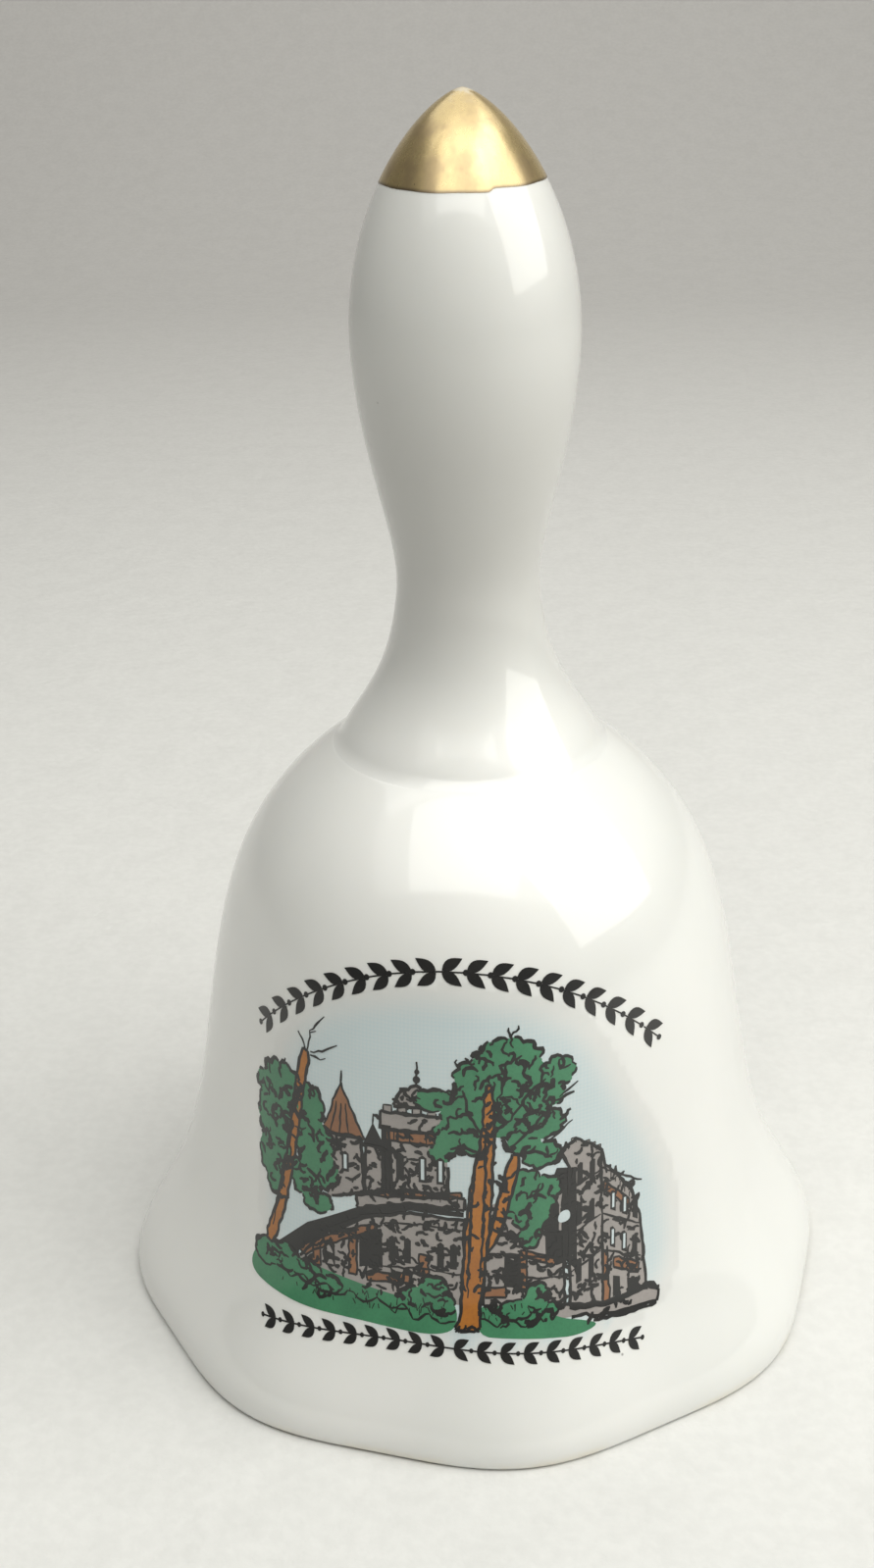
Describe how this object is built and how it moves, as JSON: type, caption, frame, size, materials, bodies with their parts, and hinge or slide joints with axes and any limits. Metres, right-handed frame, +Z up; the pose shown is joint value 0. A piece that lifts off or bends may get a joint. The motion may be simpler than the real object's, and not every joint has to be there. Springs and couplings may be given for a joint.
{
  "type": "porcelain hand bell",
  "caption": "Lobed white porcelain table bell with a bulbous handle, gilt tip, printed castle scene and a bead clapper that swings inside.",
  "frame": {"origin": "centre of the rim plane that the bell stands on", "axes": "+Z up along the axis of the bell towards the tip of the handle, -Y towards the printed picture, +X to the right of it"},
  "size_m": [0.0774, 0.0774, 0.1269],
  "materials": {
    "porcelain": "clear gloss glaze over white porcelain",
    "gilt": "bright gold lustre, a little worn",
    "sky_ink": "pale blue fired tint under gloss",
    "picture_inks": "green, brown, grey and black fired inks",
    "black_ink": "black fired ink",
    "plaster": "matt setting plaster",
    "wire": "bright drawn wire",
    "bead_glaze": "gloss glaze"
  },
  "bodies": {
    "bell": {"bell_body": "porcelain", "handle": "porcelain", "gilt_tip": "gilt", "sky_tint": "sky_ink", "picture_print": "picture_inks", "upper_border": "black_ink", "lower_border": "black_ink", "crown_plug": "plaster", "hanger_staple": "wire"},
    "link": {"clapper_link": "wire"},
    "clapper": {"clapper_pin": "wire", "clapper_bead": "bead_glaze"}
  },
  "joints": [
    {"name": "link_swing", "type": "hinge", "parent": "bell", "child": "link", "pos_m": [0, 0, 0.05384], "axis": [1, 0, 0], "range_deg": [-27, 27]},
    {"name": "clapper_swing", "type": "hinge", "parent": "link", "child": "clapper", "pos_m": [0, 0, 0.04804], "axis": [0, 1, 0], "range_deg": [-27, 27]}
  ]
}
